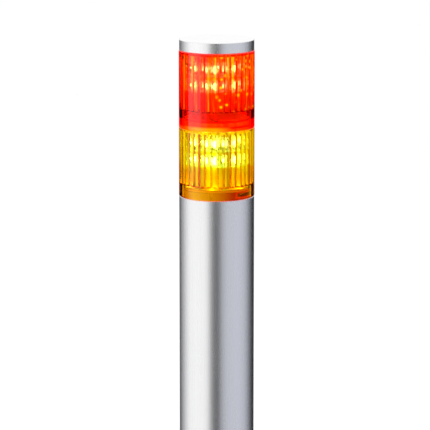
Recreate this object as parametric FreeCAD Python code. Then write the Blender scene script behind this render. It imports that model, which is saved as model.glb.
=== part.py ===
import FreeCAD, Part
import math
import os

# Stack light: an aluminium body tube, an amber lens, a red lens and a cap, all on one axis.
# Millimetres.  Z runs up the axis, and z = 0 is the face that the gasket rests on.
# The front faces -Y.  An azimuth is counted from the front towards +X, in degrees.

Vec = FreeCAD.Vector

# Driving dimensions: outside radii.
lensR = 15.0
tubeR = 14.9
capR = 14.8

# Driving dimensions: visible heights, from the bottom up.
gasketT = 1.5
flangeT = 4.0
tubeLength = 101.5
amberHeight = 27.5
redHeight = 30.5
capHeight = 4.5

plugZ = gasketT
tubeZ = plugZ + flangeT
amberZ = tubeZ + tubeLength
redZ = amberZ + amberHeight
capZ = redZ + redHeight
topZ = capZ + capHeight

# Lens moulding: ribs on the inside over the upper part, a smooth band below them, a neck on top.
ribCount = 36
ribTurn = 1.5
valleyR = 13.4
crestR = 12.9
neckR = 13.1
neckBore = 11.2
neckHeight = 3.0
roofT = 1.2
amberBand = 5.0
redBand = 7.3
footR = 14.1
footDepth = 3.0

neckGroove = (0.7, 1.9)
edgeEase = 0.3

# Body tube, and the collar that stands on the shelf in its mouth.
tubeBore = 13.3
mouthR = 14.2
mouthDepth = 4.6
sealT = 0.8
wallGap = 0.2
collarFlangeZ = amberZ - mouthDepth
collarSkirtZ = amberZ - 17.0
windowHalf = 4.2
windowZ = (0.6, 2.3)
windowAzimuths = (60, 240)
keyHalf = 0.6
keyAzimuth = -9

# Seals and clamping.
ringSection = 0.5
rodR = 1.5
rodClearance = 0.1
threadGap = 0.03
sleeveR = 2.4
bossR = 3.2
bossDrop = 3.6
bossZ = capZ - bossDrop

# LED tiers: six LEDs in a row, one row above the board and one below it.
ledCount = 6
ledTurn = -10.0
ledRowOffset = 3.3
ledBackR = 4.2
boardR = 10.0
boardT = 1.2
boardDrop = {"red": 10.2, "amber": 9.3}
postR = 8.9
postAzimuths = (20.0, 140.0, 260.0)
wireAzimuth = 200.0
wireR = 0.35
jumperR = 12.2
jumperEndR = 9.2

# Moulded LED holder.
drumR = 10.0
drumT = 1.0
deckDrop = 2.1
deckT = 1.2
spigotDepth = 2.0
holderFlangeR = 12.6
holderFlangeT = 1.0
redHolderZ = redZ + neckHeight
amberHolderZ = amberZ + neckHeight

# Base plug and fixing.
fixingPcd = 20.0
fixingCount = 3
insertR = 2.1
insertLength = 7.0
tapR = 1.25
cableR = 2.6
hubR = 4.6
hubZ = 16.0
hubHeight = 7.0
plugSealZ = 13.2
nutHeight = 2.4
nutFlatR = 2.75
washerT = 0.5
nutSeat = hubZ + 3.2

# Control board, standing in the tube in front of the rod.
cardWidth = 20.0
cardT = 1.6
cardY = -5.6
cardZ = 18.0
cardHeight = 76.0
cardFront = cardY - cardT / 2
cardBack = cardY + cardT / 2
cardGap = 0.05
headerTop = 87.0
headerXs = (-3.4, -4.7, -6.0, -7.3)
supplyXs = (-4.5, -1.5, 1.5, 4.5)
rectifierZ = 36.0
capacitorZ = 48.0
capacitorR = 3.15
capacitorLength = 11.0
resistorZs = (64.0, 69.0, 74.0)


def polar(r, azimuth, z=0.0):
    a = math.radians(azimuth)
    return Vec(r * math.sin(a), -r * math.cos(a), z)


def turned(profile):
    # Full turn of a closed outline of (radius, height) points.
    wire = Part.makePolygon([Vec(r, 0, z) for r, z in profile + profile[:1]])
    return Part.Face(wire).revolve(Vec(0, 0, 0), Vec(0, 0, 1), 360)


def ring(rIn, rOut, z, height):
    return turned([(rIn, z), (rOut, z), (rOut, z + height), (rIn, z + height)])


def rod(r, z, height, at=None):
    return Part.makeCylinder(r, height, (at or Vec(0, 0, 0)) + Vec(0, 0, z))


def block(x0, x1, y0, y1, z0, z1):
    return Part.makeBox(x1 - x0, y1 - y0, z1 - z0, Vec(x0, y0, z0))


def turnedTo(shape, azimuth):
    # Takes a shape made at the front round the axis to an azimuth.
    copy = shape.copy()
    copy.rotate(Vec(0, 0, 0), Vec(0, 0, 1), azimuth)
    return copy


def around(shape, azimuths):
    return [turnedTo(shape, azimuth) for azimuth in azimuths]


def evenly(count, first=0.0):
    return [first + 360.0 * i / count for i in range(count)]


def rounded(shape, r, z, radius):
    # Rounds the circular edge of radius r at height z.
    def matches(edge):
        curve = edge.Curve
        return (isinstance(curve, Part.Circle) and abs(curve.Radius - r) < 1e-4
                and abs(curve.Center.z - z) < 1e-4)

    return shape.makeFillet(radius, [e for e in shape.Edges if matches(e)])


def ribbedVoid(z, height):
    # The space inside the ribs: a rosette of arcs whose crests point at the axis.
    step = 360.0 / ribCount
    arcs = []
    for i in range(ribCount):
        a = i * step + ribTurn
        arc = Part.Arc(polar(valleyR, a, z), polar(crestR, a + step / 2, z), polar(valleyR, a + step, z))
        arcs.append(arc.toShape())
    return Part.Face(Part.Wire(arcs)).extrude(Vec(0, 0, height))


def oRing(insideR, outsideR, z):
    # Squeezed between its groove and the wall outside it, so eight-sided in section.
    half = (outsideR - insideR) / 2
    corner = half / math.cos(math.radians(22.5))
    angles = [math.radians(22.5 + 45 * i) for i in range(8)]
    return turned([(insideR + half + corner * math.cos(a), z + corner * math.sin(a)) for a in angles])


# Lenses.

def lens(z, height, band, foot):
    # The outline runs up the outside and over the neck, with the groove for the O-ring in the neck.
    top = z + height
    grooveR = valleyR - 2 * ringSection
    outside = [(lensR, z), (lensR, top - 0.15), (lensR - 0.15, top), (neckR, top),
               (neckR, top + neckGroove[0]), (grooveR, top + neckGroove[0]),
               (grooveR, top + neckGroove[1]), (neckR, top + neckGroove[1]),
               (neckR, top + neckHeight - 0.3), (neckR - 0.3, top + neckHeight)]
    bottom = z - foot
    if foot:
        outside = [(footR - 0.2, bottom), (footR, bottom + 0.2), (footR, z)] + outside
    body = turned([(0, bottom)] + outside + [(0, top + neckHeight)])
    body = rounded(body, lensR, z, 0.4)
    ribZ = z + band
    slope = valleyR - crestR + 0.3
    ribEnds = turned([(0, ribZ - 0.1), (valleyR, ribZ - 0.1), (valleyR, ribZ),
                      (valleyR - slope, ribZ + slope), (0, ribZ + slope)])
    hollow = rod(valleyR, bottom - 1, ribZ - bottom + 1).fuse([
        ribEnds, ribbedVoid(ribZ - 0.05, top - roofT - ribZ + 0.05), rod(neckBore, top - roofT - 1, 6)])
    return body.cut(hollow)


def neckSeal(shoulderZ):
    middle = shoulderZ + sum(neckGroove) / 2
    return oRing(valleyR - 2 * ringSection, valleyR, middle)


# Cap, tube and base.

def cap():
    boreEnd = topZ - 2.4
    skirtR = valleyR
    ceiling = capZ + neckHeight + 0.1
    chamfer = 0.3
    threadR = rodR + threadGap
    return turned([(0, topZ), (capR - 0.25, topZ), (capR, topZ - 0.25), (capR, capZ + chamfer),
                   (capR - chamfer, capZ), (skirtR + 0.2, capZ), (skirtR, capZ + 0.2),
                   (skirtR, ceiling), (bossR + 0.6, ceiling), (bossR, ceiling - 0.6), (bossR, bossZ + 0.3),
                   (bossR - 0.3, bossZ), (threadR + 0.3, bossZ), (threadR, bossZ + 0.3),
                   (threadR, boreEnd - 0.6), (0, boreEnd)])


def bodyTube():
    edge = 0.2
    return turned([(tubeBore + edge, tubeZ), (tubeR - edge, tubeZ), (tubeR, tubeZ + edge),
                   (tubeR, amberZ - edge), (tubeR - edge, amberZ), (mouthR + edge, amberZ),
                   (mouthR, amberZ - edge), (mouthR, amberZ - mouthDepth), (tubeBore, amberZ - mouthDepth),
                   (tubeBore, tubeZ + edge)])


def tubeCollar():
    # Stands on the shelf in the tube's mouth, carries the amber holder and steadies the control board.
    neckTop = amberZ + neckHeight
    skirtR = tubeBore - wallGap
    bore = neckBore + 0.1
    shell = turned([(bore, collarSkirtZ), (skirtR - 0.4, collarSkirtZ), (skirtR, collarSkirtZ + 0.4),
                    (skirtR, collarFlangeZ), (footR, collarFlangeZ), (footR, collarFlangeZ + sealT),
                    (neckR, collarFlangeZ + sealT), (neckR, neckTop - 0.3), (neckR - 0.3, neckTop),
                    (bore, neckTop)])
    lugs = []
    for side in (-1, 1):
        x = sorted((side * 8.0, side * 11.9))
        lugs.append(block(x[0], x[1], cardY - 2.6, cardY + 2.6, collarSkirtZ, collarSkirtZ + 10))
    shell = shell.fuse([lug.common(rod(skirtR - 0.5, collarSkirtZ, 20)) for lug in lugs])
    grooveHalf = cardWidth / 2 + 0.15
    groove = block(-grooveHalf, grooveHalf, cardFront - cardGap, cardBack + cardGap,
                   collarSkirtZ - 1, cardZ + cardHeight + 0.2)
    window = block(-windowHalf, windowHalf, -lensR, 0.5 - bore, amberZ + windowZ[0], amberZ + windowZ[1])
    windows = around(window, windowAzimuths)
    key = turnedTo(block(-keyHalf, keyHalf, -lensR, 0.5 - bore, amberZ - 1.5, neckTop + 1), keyAzimuth)
    return shell.cut([groove, key] + windows)


def fixingAzimuths():
    # One fixing at the back, two at the front.
    return evenly(fixingCount, 180.0)


def basePlug():
    # A flange, a spigot with a seal groove, three insert posts and a bridged hub for the tie rod.
    edge = 0.4
    spigotR = tubeBore - 0.2
    spigotBore = 11.3
    spigotTop = 17.0
    grooveR = tubeBore - 2 * ringSection
    outline = [(4.4, plugZ), (tubeR - edge, plugZ), (tubeR, plugZ + edge), (tubeR, tubeZ),
               (spigotR, tubeZ), (spigotR, spigotTop - edge), (spigotR - edge, spigotTop),
               (spigotBore, spigotTop), (spigotBore, tubeZ), (4.4, tubeZ)]
    posts = [rod(3.0, tubeZ, hubZ + 6 - tubeZ, polar(fixingPcd / 2, a)) for a in fixingAzimuths()]
    webs = around(block(-1, 1, -fixingPcd / 2, -hubR + 1, hubZ, hubZ + 6), fixingAzimuths())
    hub = rod(hubR, hubZ, hubHeight)
    body = turned(outline).fuse(posts + webs + [hub])
    nutPocket = hexagon(nutFlatR + rodClearance, hubZ - 1, nutSeat - hubZ + 1)
    rodHole = rod(rodR + rodClearance, hubZ, hubHeight + 1)
    recesses = [ring(0, 5.6, plugZ - 1, 2.5), ring(0, 5.6, tubeZ - 1.5, 2.5),
                ring(grooveR, tubeBore, plugSealZ - 0.6, 1.2)]
    drilled = [rod(insertR, plugZ - 1, insertLength + 3, polar(fixingPcd / 2, a)) for a in fixingAzimuths()]
    slotHalf = cardWidth / 2 + 0.15
    slotInner = 5.2
    slots = [block(x0, x1, cardFront - cardGap, cardBack + cardGap, cardZ, hubZ + hubHeight)
             for x0, x1 in ((slotInner, slotHalf), (-slotHalf, -slotInner))]
    return body.cut([nutPocket, rodHole] + recesses + drilled + slots)


def hexagon(flatR, z, height):
    corners = [polar(flatR / math.cos(math.radians(30)), a, z) for a in evenly(6, 30.0)]
    return Part.Face(Part.makePolygon(corners + corners[:1])).extrude(Vec(0, 0, height))


def baseGasket():
    pad = ring(7.2, tubeR - 0.1, 0, gasketT)
    return pad.cut([rod(1.8, -1, gasketT + 2, polar(fixingPcd / 2, a)) for a in fixingAzimuths()])


def cableGrommet():
    # Snaps over the web in the middle of the base plug's flange.
    lipR = 5.5
    return turned([(cableR, plugZ + 0.3), (cableR + 0.3, plugZ), (lipR, plugZ), (lipR, plugZ + 1.4),
                   (4.35, plugZ + 1.5), (4.35, tubeZ - 1.5), (lipR, tubeZ - 1.4), (lipR, tubeZ - 0.5),
                   (lipR - 0.5, tubeZ), (cableR + 0.3, tubeZ), (cableR, tubeZ - 0.3)])


def fixingInserts():
    # Brass, tapped, with two gripping bands.
    z = plugZ + 0.1
    band = insertLength / 3
    slim = insertR - 0.25
    outline = [(tapR + 0.2, z), (insertR, z), (insertR, z + band), (slim, z + band), (slim, z + 1.4 * band),
               (insertR, z + 1.4 * band), (insertR, z + insertLength - 0.4),
               (insertR - 0.4, z + insertLength), (tapR, z + insertLength), (tapR, z + 0.2)]
    inserts = []
    for azimuth in fixingAzimuths():
        insert = turned(outline)
        insert.translate(polar(fixingPcd / 2, azimuth))
        inserts.append(insert)
    return inserts


# Clamping.

def tieRod():
    bottom = nutSeat - washerT - nutHeight - 1.0
    top = topZ - 3.0
    return turned([(0, bottom), (rodR - edgeEase, bottom), (rodR, bottom + edgeEase), (rodR, top - edgeEase),
                   (rodR - edgeEase, top), (0, top)])


def rodNut():
    z = nutSeat - washerT - nutHeight
    cornerR = nutFlatR / math.cos(math.radians(30))
    chamfered = turned([(0, z), (nutFlatR, z), (cornerR, z + edgeEase), (cornerR, z + nutHeight - edgeEase),
                        (nutFlatR, z + nutHeight), (0, z + nutHeight)])
    threaded = hexagon(nutFlatR, z, nutHeight).common(chamfered)
    return threaded.cut(rod(rodR + threadGap, z - 1, nutHeight + 2))


# LED tiers.

def led():
    # A 3 mm LED lying along +X with its back at x = 0, its leads bent down.
    bodyR = 1.5
    shoulder = 3.2
    flangeR = 1.9
    outline = [Part.makeLine(Vec(0, 0, 0), Vec(0, 0, flangeR)),
               Part.makeLine(Vec(0, 0, flangeR), Vec(0.9, 0, flangeR)),
               Part.makeLine(Vec(0.9, 0, flangeR), Vec(0.9, 0, bodyR)),
               Part.makeLine(Vec(0.9, 0, bodyR), Vec(shoulder, 0, bodyR)),
               Part.Arc(Vec(shoulder, 0, bodyR),
                        Vec(shoulder + bodyR * math.sqrt(0.5), 0, bodyR * math.sqrt(0.5)),
                        Vec(shoulder + bodyR, 0, 0)).toShape(),
               Part.makeLine(Vec(shoulder + bodyR, 0, 0), Vec(0, 0, 0))]
    body = Part.Face(Part.Wire(outline)).revolve(Vec(0, 0, 0), Vec(1, 0, 0), 360)
    leadW = 0.45
    reach = 0.95
    drop = ledRowOffset - boardT / 2
    leads = []
    for y in (-1.27, 1.27):
        leads.append(block(-reach, 0.1, y - leadW / 2, y + leadW / 2, -leadW / 2, leadW / 2))
        leads.append(block(-reach, leadW - reach, y - leadW / 2, y + leadW / 2, -drop, 0))
    return body.fuse(leads).removeSplitter()


def boardMiddle(tier):
    return {"red": capZ, "amber": redZ}[tier] - boardDrop[tier]


def ledRow(tier, side):
    # side is 1 for the row above the board and -1 for the one below it.
    one = led()
    one.translate(Vec(ledBackR, 0, 0))
    if side < 0:
        one.rotate(Vec(0, 0, 0), Vec(1, 0, 0), 180)
    one.translate(Vec(0, 0, boardMiddle(tier) + side * ledRowOffset))
    return around(one, evenly(ledCount, ledTurn - 90.0))


def ledBoard(tier):
    middle = boardMiddle(tier)
    board = ring(rodR + rodClearance, boardR, middle - boardT / 2, boardT)
    pegs = [rod(0.55, middle - 1, 2, polar(postR, a)) for a in postAzimuths]
    if tier == "amber":
        pegs.append(turnedTo(block(-0.7, 0.7, -boardR - 1, -7.0, middle - 1, middle + 1), wireAzimuth))
    return board.cut(pegs)


def chipResistors(tier):
    # One under each LED of the upper row.
    top = boardMiddle(tier) + boardT / 2
    chip = block(-0.63, 0.63, -7.5, -5.5, top, top + 0.5)
    return around(chip, evenly(ledCount, ledTurn))


def ledHolder(tier, z):
    # A flanged drum closed by a deck just under the lower LEDs, with a hub and three posts for the board.
    boardBottom = boardMiddle(tier) - boardT / 2
    deckTop = boardMiddle(tier) - ledRowOffset - deckDrop
    spigotR = neckBore - 0.15
    spigotZ = z - spigotDepth
    inside = drumR - drumT
    spigotBore = spigotR - drumT
    shell = turned([(spigotBore, spigotZ), (spigotR - edgeEase, spigotZ), (spigotR, spigotZ + edgeEase),
                    (spigotR, z), (holderFlangeR, z), (holderFlangeR, z + holderFlangeT),
                    (drumR, z + holderFlangeT), (drumR, deckTop - edgeEase), (drumR - edgeEase, deckTop),
                    (0, deckTop), (0, deckTop - deckT), (inside, deckTop - deckT),
                    (inside, z + holderFlangeT), (spigotBore, z)])
    hub = rod(sleeveR, spigotZ, boardBottom - spigotZ)
    posts = []
    for azimuth in postAzimuths:
        posts.append(rod(0.9, deckTop - deckT, boardBottom - deckTop + deckT, polar(postR, azimuth)))
        posts.append(rod(0.5, boardBottom - 0.1, boardT + 0.4, polar(postR, azimuth)))
    body = shell.fuse([hub] + posts)
    rodHole = rod(rodR + rodClearance, spigotZ - 1, boardBottom - spigotZ + 2)
    wireHole = turnedTo(block(-0.7, 0.7, -9.2, -5.0, deckTop - deckT - 1, deckTop + 1), wireAzimuth)
    return body.cut([rodHole, wireHole])


# Wiring and the control board.

def bentWire(points, r, bend):
    # Straight runs joined by tangent arcs, swept with a round section.
    edges = []
    start = points[0]
    for before, corner, after in zip(points, points[1:], points[2:]):
        inward = (before - corner).normalize()
        outward = (after - corner).normalize()
        turn = math.pi - inward.getAngle(outward)
        reach = bend * math.tan(turn / 2)
        a = corner + inward * reach
        b = corner + outward * reach
        middle = (inward + outward).normalize() * (bend / math.cos(turn / 2) - bend) + corner
        edges += [Part.makeLine(start, a), Part.Arc(a, middle, b).toShape()]
        start = b
    edges.append(Part.makeLine(start, points[-1]))
    section = Part.Wire(Part.makeCircle(r, points[0], points[1] - points[0]))
    return Part.Wire(edges).makePipeShell([section], True, False)


def tierWires(tier, headerXs, radii):
    # From the header up behind the board, then straight up through the holders.
    y = cardBack + 2.0
    ends = boardMiddle(tier) - boardT / 2
    wires = []
    for x, r in zip(headerXs, radii):
        across = polar(r, wireAzimuth)
        route = [Vec(x, y, headerTop), Vec(x, y, headerTop + 3.5),
                 Vec(across.x, across.y, headerTop + 10.5), Vec(across.x, across.y, ends)]
        wires.append(bentWire(route, wireR, 2.5))
    return wires


def jumperLead():
    # From the left of the red LED board, up along the inside of the ribs, then back down behind.
    boardTop = boardMiddle("red") + boardT / 2
    high = capZ - 1.9
    low = capZ - 7.5
    route = [polar(jumperEndR, -40, boardTop), polar(jumperEndR, -40, boardTop + 1.4),
             polar(jumperR, -46, low), polar(jumperR, -60, (low + high) / 2), polar(jumperR, -74, high),
             polar(jumperR, -100, high), polar(jumperR, -120, high - 0.6),
             polar(jumperEndR, -158, boardTop + 2.6), polar(jumperEndR, -158, boardTop)]
    return bentWire(route, wireR, 0.7)


def controlBoard():
    return block(-cardWidth / 2, cardWidth / 2, cardFront, cardBack, cardZ, cardZ + cardHeight)


def leadHeader():
    # Four ways, on the back of the board, with its mouth upwards.
    housing = block(headerXs[-1] - 1.2, headerXs[0] + 1.2, cardBack, cardBack + 4.2, headerTop - 7, headerTop)
    ways = [rod(wireR + 0.1, headerTop - 4, 5, Vec(x, cardBack + 2.0, 0)) for x in headerXs]
    return housing.cut(ways)


def supplyHeader():
    # Four ways for the supply cores, on the front of the board, with its mouth downwards.
    bottom = cardZ + 6
    housing = block(-6.5, 6.5, cardFront - 4.6, cardFront, bottom, bottom + 7)
    ways = [block(x - 1, x + 1, cardFront - 3.6, cardFront - 1.2, bottom - 1, bottom + 5)
            for x in supplyXs]
    return housing.cut(ways)


def rectifier():
    z = rectifierZ
    body = block(-7.0, 1.2, cardFront - 3.2, cardFront - 0.4, z, z + 6.4)
    legs = [block(x - 0.25, x + 0.25, cardFront - 1.4, cardFront, legZ, legZ + 1.2)
            for x in (-5.5, -0.3) for legZ in (z - 1.1, z + 6.3)]
    return body.fuse(legs)


def capacitor():
    # Lies along the board, with its crimped end down and its leads bent back into the board.
    r = capacitorR
    z = capacitorZ
    end = z + capacitorLength
    can = turned([(0, z), (r - 0.3, z), (r, z + 0.3), (r, z + 1.2), (r - 0.35, z + 1.6), (r, z + 2.0),
                  (r, end - 0.3), (r - 0.3, end), (0, end)])
    leads = []
    for x in (-1.25, 1.25):
        leads.append(block(x - 0.25, x + 0.25, -0.25, 0.25, z - 1.5, z))
        leads.append(block(x - 0.25, x + 0.25, -0.25, r, z - 1.5, z - 1.0))
    can = can.fuse(leads)
    can.translate(Vec(0, cardFront - r, 0))
    return can


def powerResistors():
    # Axial resistors across the board, one above the other.
    resistors = []
    y = cardFront - 1.5
    for z in resistorZs:
        body = Part.makeCylinder(1.1, 6.4, Vec(-3.2, y, z), Vec(1, 0, 0))
        ends = [Part.makeCylinder(1.25, 1.4, Vec(x, y, z), Vec(1, 0, 0)) for x in (-3.2, 1.8)]
        leads = []
        for side in (-1, 1):
            x = sorted((side * 3.0, side * 5.1))
            leads.append(block(x[0], x[1], y - 0.25, y + 0.25, z - 0.25, z + 0.25))
            x = sorted((side * 4.6, side * 5.1))
            leads.append(block(x[0], x[1], y, cardFront, z - 0.25, z + 0.25))
        resistors.append(body.fuse(ends + leads))
    return resistors


pieces = {
    "cap": cap(),
    "cap_seal": neckSeal(capZ),
    "red_lens": lens(redZ, redHeight, redBand, 0),
    "tier_seal": neckSeal(redZ),
    "amber_lens": lens(amberZ, amberHeight, amberBand, footDepth),
    "tube_seal": ring(neckR + 0.1, footR, amberZ - footDepth - sealT, sealT),
    "body_tube": bodyTube(),
    "tube_collar": tubeCollar(),
    "base_plug": basePlug(),
    "plug_seal": oRing(tubeBore - 2 * ringSection, tubeBore, plugSealZ),
    "base_gasket": baseGasket(),
    "cable_grommet": cableGrommet(),
    "fixing_inserts": fixingInserts(),
    "tie_rod": tieRod(),
    "rod_nut": rodNut(),
    "rod_washer": ring(rodR + rodClearance, 2.6, nutSeat - washerT, washerT),
    "top_spacer": ring(rodR + rodClearance, sleeveR, boardMiddle("red") + boardT / 2,
                       bossZ - boardMiddle("red") - boardT / 2),
    "middle_spacer": ring(rodR + rodClearance, sleeveR, boardMiddle("amber") + boardT / 2,
                          redHolderZ - spigotDepth - boardMiddle("amber") - boardT / 2),
    "red_holder": ledHolder("red", redHolderZ),
    "amber_holder": ledHolder("amber", amberHolderZ),
    "red_wires": tierWires("red", headerXs[2:], (7.6, 8.6)),
    "amber_wires": tierWires("amber", headerXs[:2], (5.6, 6.6)),
    "jumper_lead": jumperLead(),
    "control_board": controlBoard(),
    "lead_header": leadHeader(),
    "supply_header": supplyHeader(),
    "rectifier": rectifier(),
    "capacitor": capacitor(),
    "power_resistors": powerResistors(),
}
for tier in ("red", "amber"):
    pieces[tier + "_led_board"] = ledBoard(tier)
    pieces[tier + "_chip_resistors"] = chipResistors(tier)
    pieces[tier + "_leds_upper"] = ledRow(tier, 1)
    pieces[tier + "_leds_lower"] = ledRow(tier, -1)

os.makedirs("parts", exist_ok=True)
for name, shape in pieces.items():
    if isinstance(shape, list):
        shape = Part.makeCompound(shape)
    solids = shape.Solids
    sound = all(s.isValid() and s.isClosed() for s in solids)
    print(f"{name}: {len(solids)} solid(s), {shape.Volume:.1f} mm3, {'sound' if sound else 'NOT SOUND'}")
    shape.exportStep(f"parts/{name}.step")
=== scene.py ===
import math

import bmesh
import bpy
from mathutils import Matrix, Vector


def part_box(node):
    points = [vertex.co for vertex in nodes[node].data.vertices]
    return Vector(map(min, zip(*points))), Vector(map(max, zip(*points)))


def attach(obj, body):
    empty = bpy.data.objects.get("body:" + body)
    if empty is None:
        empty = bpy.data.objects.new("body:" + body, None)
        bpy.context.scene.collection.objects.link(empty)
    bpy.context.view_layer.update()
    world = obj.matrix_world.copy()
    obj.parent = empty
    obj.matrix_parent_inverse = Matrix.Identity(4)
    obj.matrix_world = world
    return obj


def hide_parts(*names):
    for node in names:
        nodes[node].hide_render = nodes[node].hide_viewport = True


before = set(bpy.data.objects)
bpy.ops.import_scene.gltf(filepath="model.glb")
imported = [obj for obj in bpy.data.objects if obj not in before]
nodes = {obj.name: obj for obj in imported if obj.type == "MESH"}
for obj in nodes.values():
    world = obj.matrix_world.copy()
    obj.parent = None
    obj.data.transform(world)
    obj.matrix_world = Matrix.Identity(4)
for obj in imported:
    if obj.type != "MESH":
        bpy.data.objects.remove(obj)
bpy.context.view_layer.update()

# A two-tier signal tower. Lengths in the dictionaries are millimetres unless a note says otherwise.
scene = bpy.context.scene
scene.view_settings.view_transform = "Standard"
mm = 0.001


# Mesh helpers

def newPiece(name, bm, material, angle=35):
    mesh = bpy.data.meshes.new(name)
    bm.to_mesh(mesh)
    bm.free()
    piece = bpy.data.objects.new(name, mesh)
    scene.collection.objects.link(piece)
    mesh.materials.append(material)
    mesh.shade_smooth()
    mesh.set_sharp_from_angle(angle=math.radians(angle))
    return piece


def addPiece(piece, slot=None, *replaced):
    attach(piece, "root")
    if replaced:
        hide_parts(*replaced)
    return piece


def hideFrom(thing, *rays):
    for ray in rays:
        setattr(thing, "visible_" + ray, False)


def outline(bm, points, closed=True):
    # points are (along X, along Z) in the XZ plane
    corners = [bm.verts.new((x, 0, z)) for x, z in points]
    pairs = list(zip(corners, corners[1:]))
    if closed:
        pairs.append((corners[-1], corners[0]))
    return corners + [bm.edges.new(pair) for pair in pairs]


def uprightEdge(bm, radius, low, high):
    # A vertical edge in front of the axis, ready to spin
    foot = bm.verts.new((0, -radius, low))
    head = bm.verts.new((0, -radius, high))
    return [foot, head, bm.edges.new((foot, head))]


def spinFull(bm, geom, steps, axis=(0, 0, 1)):
    bmesh.ops.spin(bm, geom=geom, cent=(0, 0, 0), axis=axis, angle=2 * math.pi,
                   steps=steps, use_merge=True)
    bmesh.ops.remove_doubles(bm, verts=bm.verts, dist=1e-7)
    bmesh.ops.recalc_face_normals(bm, faces=bm.faces)


def turnAll(bm, angle, axis="Z"):
    bmesh.ops.rotate(bm, verts=bm.verts, cent=(0, 0, 0), matrix=Matrix.Rotation(angle, 3, axis))


def toMetres(bm):
    bmesh.ops.scale(bm, verts=bm.verts, vec=(mm, mm, mm))


def arcPoints(centre, radius, start, end, count):
    turn = [math.radians(start + (end - start) * i / count) for i in range(count + 1)]
    return [(centre[0] + radius * math.cos(a), centre[1] + radius * math.sin(a)) for a in turn]


# Node helpers

def addNode(tree, kind, **values):
    node = tree.nodes.new(kind)
    for key, value in values.items():
        if hasattr(node, key):
            setattr(node, key, value)
        else:
            node.inputs[key.replace("_", " ")].default_value = value
    return node


def mixColour(tree, factor, first, second):
    node = addNode(tree, "ShaderNodeMix", data_type="RGBA")
    for socket, value in ((node.inputs[0], factor), (node.inputs[6], first), (node.inputs[7], second)):
        if isinstance(value, bpy.types.NodeSocket):
            tree.links.new(value, socket)
        else:
            socket.default_value = value if isinstance(value, float) else (*value, 1)
    return node.outputs[2]


def mapped(tree, value, low, high, fromLow=0.0, fromHigh=1.0):
    node = addNode(tree, "ShaderNodeMapRange")
    for socket, number in zip(node.inputs[1:5], (fromLow, fromHigh, low, high)):
        socket.default_value = number
    tree.links.new(value, node.inputs[0])
    return node.outputs[0]


def mappedOver(tree, value, low, high, span, base=0.0):
    # As mapped, over a span in millimetres from base
    return mapped(tree, value, low, high, base + span[0] * mm, base + span[1] * mm)


def maths(tree, operation, first, second=None):
    node = addNode(tree, "ShaderNodeMath", operation=operation)
    for socket, value in zip(node.inputs, (first, second)):
        if isinstance(value, bpy.types.NodeSocket):
            tree.links.new(value, socket)
        elif value is not None:
            socket.default_value = value
    return node.outputs[0]


def product(tree, first, *others):
    for other in others:
        first = maths(tree, "MULTIPLY", first, other)
    return first


def objectPlace(tree):
    # The point on the piece, and its X, Y and Z
    place = addNode(tree, "ShaderNodeTexCoord")
    split = addNode(tree, "ShaderNodeSeparateXYZ")
    tree.links.new(place.outputs["Object"], split.inputs[0])
    return place.outputs["Object"], split.outputs


def radiusFrom(tree, vector):
    # Distance from the Z axis
    level = addNode(tree, "ShaderNodeVectorMath", operation="MULTIPLY")
    level.inputs[1].default_value = (1, 1, 0)
    length = addNode(tree, "ShaderNodeVectorMath", operation="LENGTH")
    tree.links.new(vector, level.inputs[0])
    tree.links.new(level.outputs[0], length.inputs[0])
    return length.outputs["Value"]


def newGroup(name, inputs, outputs):
    group = bpy.data.node_groups.new(name, "ShaderNodeTree")
    for title, kind, value in inputs:
        socket = group.interface.new_socket(title, in_out="INPUT", socket_type=kind)
        if value is not None:
            socket.default_value = value
    for title, kind in outputs:
        group.interface.new_socket(title, in_out="OUTPUT", socket_type=kind)
    source = group.nodes.new("NodeGroupInput")
    result = group.nodes.new("NodeGroupOutput")
    return group, source, result


# Fine even tooth of a blasted or moulded skin, with a slow drift across it
def makeGrainGroup():
    group, source, result = newGroup("surfaceGrain", [
        ("Vector", "NodeSocketVector", None), ("Grain", "NodeSocketFloat", 2500.0),
        ("Drift", "NodeSocketFloat", 60.0)], [("Mask", "NodeSocketFloat"), ("Height", "NodeSocketFloat")])
    fine = addNode(group, "ShaderNodeTexNoise", Detail=3.0, Roughness=0.6)
    slow = addNode(group, "ShaderNodeTexNoise", Detail=2.0, Roughness=0.5)
    for texture, scale in ((fine, "Grain"), (slow, "Drift")):
        group.links.new(source.outputs["Vector"], texture.inputs["Vector"])
        group.links.new(source.outputs[scale], texture.inputs["Scale"])
    slowMask = mapped(group, slow.outputs[0], 0.0, 1.0, 0.3, 0.7)
    fineMask = mapped(group, fine.outputs[0], 0.0, 1.0, 0.25, 0.75)
    both = maths(group, "MULTIPLY", maths(group, "ADD", slowMask, fineMask), 0.5)
    group.links.new(both, result.inputs["Mask"])
    group.links.new(fineMask, result.inputs["Height"])
    return group


# Long soft streaks, as drawing and turning leave in metal
def makeStreakGroup():
    group, source, result = newGroup("drawnStreaks", [
        ("Vector", "NodeSocketVector", None), ("Stretch", "NodeSocketVector", (1.0, 1.0, 0.02)),
        ("Scale", "NodeSocketFloat", 900.0)], [("Mask", "NodeSocketFloat"), ("Height", "NodeSocketFloat")])
    stretch = addNode(group, "ShaderNodeVectorMath", operation="MULTIPLY")
    group.links.new(source.outputs["Vector"], stretch.inputs[0])
    group.links.new(source.outputs["Stretch"], stretch.inputs[1])
    streak = addNode(group, "ShaderNodeTexNoise", Detail=4.0, Roughness=0.55)
    group.links.new(stretch.outputs[0], streak.inputs["Vector"])
    group.links.new(source.outputs["Scale"], streak.inputs["Scale"])
    mask = mapped(group, streak.outputs[0], 0.0, 1.0, 0.3, 0.7)
    group.links.new(mask, result.inputs["Mask"])
    group.links.new(mask, result.inputs["Height"])
    return group


grainGroup = makeGrainGroup()
streakGroup = makeStreakGroup()


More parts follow.
